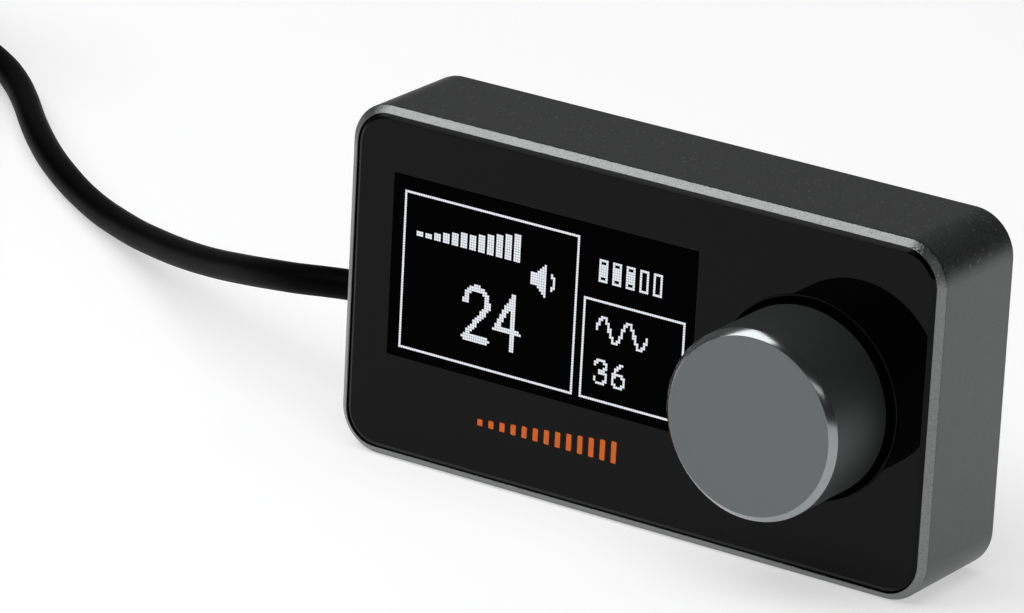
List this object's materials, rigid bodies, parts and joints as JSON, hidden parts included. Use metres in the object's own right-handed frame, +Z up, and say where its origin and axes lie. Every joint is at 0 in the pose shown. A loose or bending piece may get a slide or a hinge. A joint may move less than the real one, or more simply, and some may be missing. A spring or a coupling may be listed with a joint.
{
  "type": "bass remote control",
  "caption": "Rounded metal box with a gloss black front, a flush display and a large knob that turns and presses, on a cable, for setting an amplifier's bass level.",
  "frame": {"origin": "middle of the housing's underside, on the surface that it stands on", "axes": "+X to the right seen from the front, +Y to the back, +Z up; the display and the knob face -Y"},
  "size_m": [0.2359, 0.0982, 0.0381],
  "materials": {
    "housing_metal": "bead-blasted, dark grey anodised",
    "knob_metal": "satin grey anodised with a polished bevel",
    "panel_gloss": "polished black acrylic",
    "window": "tinted, low-reflection display window",
    "display_glass": "display cell",
    "film": "polarising film",
    "foam": "closed-cell foam and adhesive",
    "black_plastic": "moulded",
    "white_plastic": "moulded nylon",
    "flex_film": "polyimide ribbon",
    "board": "solder-masked glass fibre",
    "chip_black": "moulded epoxy",
    "ceramic": "sintered ceramic with tinned ends",
    "steel": "nickel-plated",
    "dark_steel": "black oxide",
    "brass": "plated contact brass",
    "cable_jacket": "soft black PVC",
    "lead_jackets": "coloured thin-wall insulation",
    "black_rubber": "moulded rubber"
  },
  "bodies": {
    "housing": {"housing": "housing_metal", "front_panel": "panel_gloss", "panel_tape": "foam", "display_window": "window", "display_gasket": "foam", "display_polariser": "film", "display_glass": "display_glass", "display_pad": "foam", "display_tray": "black_plastic", "display_flex": "flex_film", "flex_socket": "white_plastic", "main_board": "board", "board_screws": "steel", "processor": "chip_black", "regulator": "chip_black", "crystal": "steel", "capacitors": "ceramic", "resistors": "chip_black", "cable_header": "white_plastic", "cable_socket": "white_plastic", "cable_leads": "lead_jackets", "cable_lead_in": "cable_jacket", "strain_ring": "steel", "cable_gland": "black_rubber", "encoder_frame": "steel", "encoder_bushing": "steel", "encoder_washer": "steel", "encoder_nut": "steel", "encoder_base": "black_plastic", "encoder_terminals": "brass", "detent_spring": "brass", "contact_plate": "brass", "switch_dome": "steel", "switch_cover": "black_plastic", "rear_cover": "housing_metal", "rear_screws": "dark_steel", "cable": "cable_jacket", "cable_coil": "cable_jacket", "coil_tie": "black_plastic", "cable_end": "cable_jacket", "plug_grip": "black_rubber", "plug_shell": "steel", "plug_insert": "black_plastic", "plug_pins": "brass"},
    "encoder_rotor": {"encoder_rotor": "white_plastic", "rotor_contact": "brass"},
    "knob": {"encoder_shaft": "steel", "shaft_clip": "steel", "knob_hub": "black_plastic", "knob_cap": "knob_metal"},
    "switch_plunger": {"switch_plunger": "white_plastic"}
  },
  "joints": [
    {"name": "knob_turn", "type": "hinge", "parent": "housing", "child": "encoder_rotor", "pos_m": [0.02048, 0, 0.01887], "axis": [0, 1, 0], "continuous": true},
    {"name": "knob_push", "type": "slide", "parent": "encoder_rotor", "child": "knob", "axis": [0, 1, 0], "range_m": [0, 0.0005], "stiffness_N_per_m": 1500, "springref_m": -0.0015},
    {"name": "plunger_press", "type": "slide", "parent": "housing", "child": "switch_plunger", "axis": [0, 1, 0], "range_m": [0, 0.0005], "deforming": ["switch_dome"]}
  ],
  "couplings": [
    {"joint": "plunger_press", "follows": "knob_push", "ratio": 1}
  ]
}
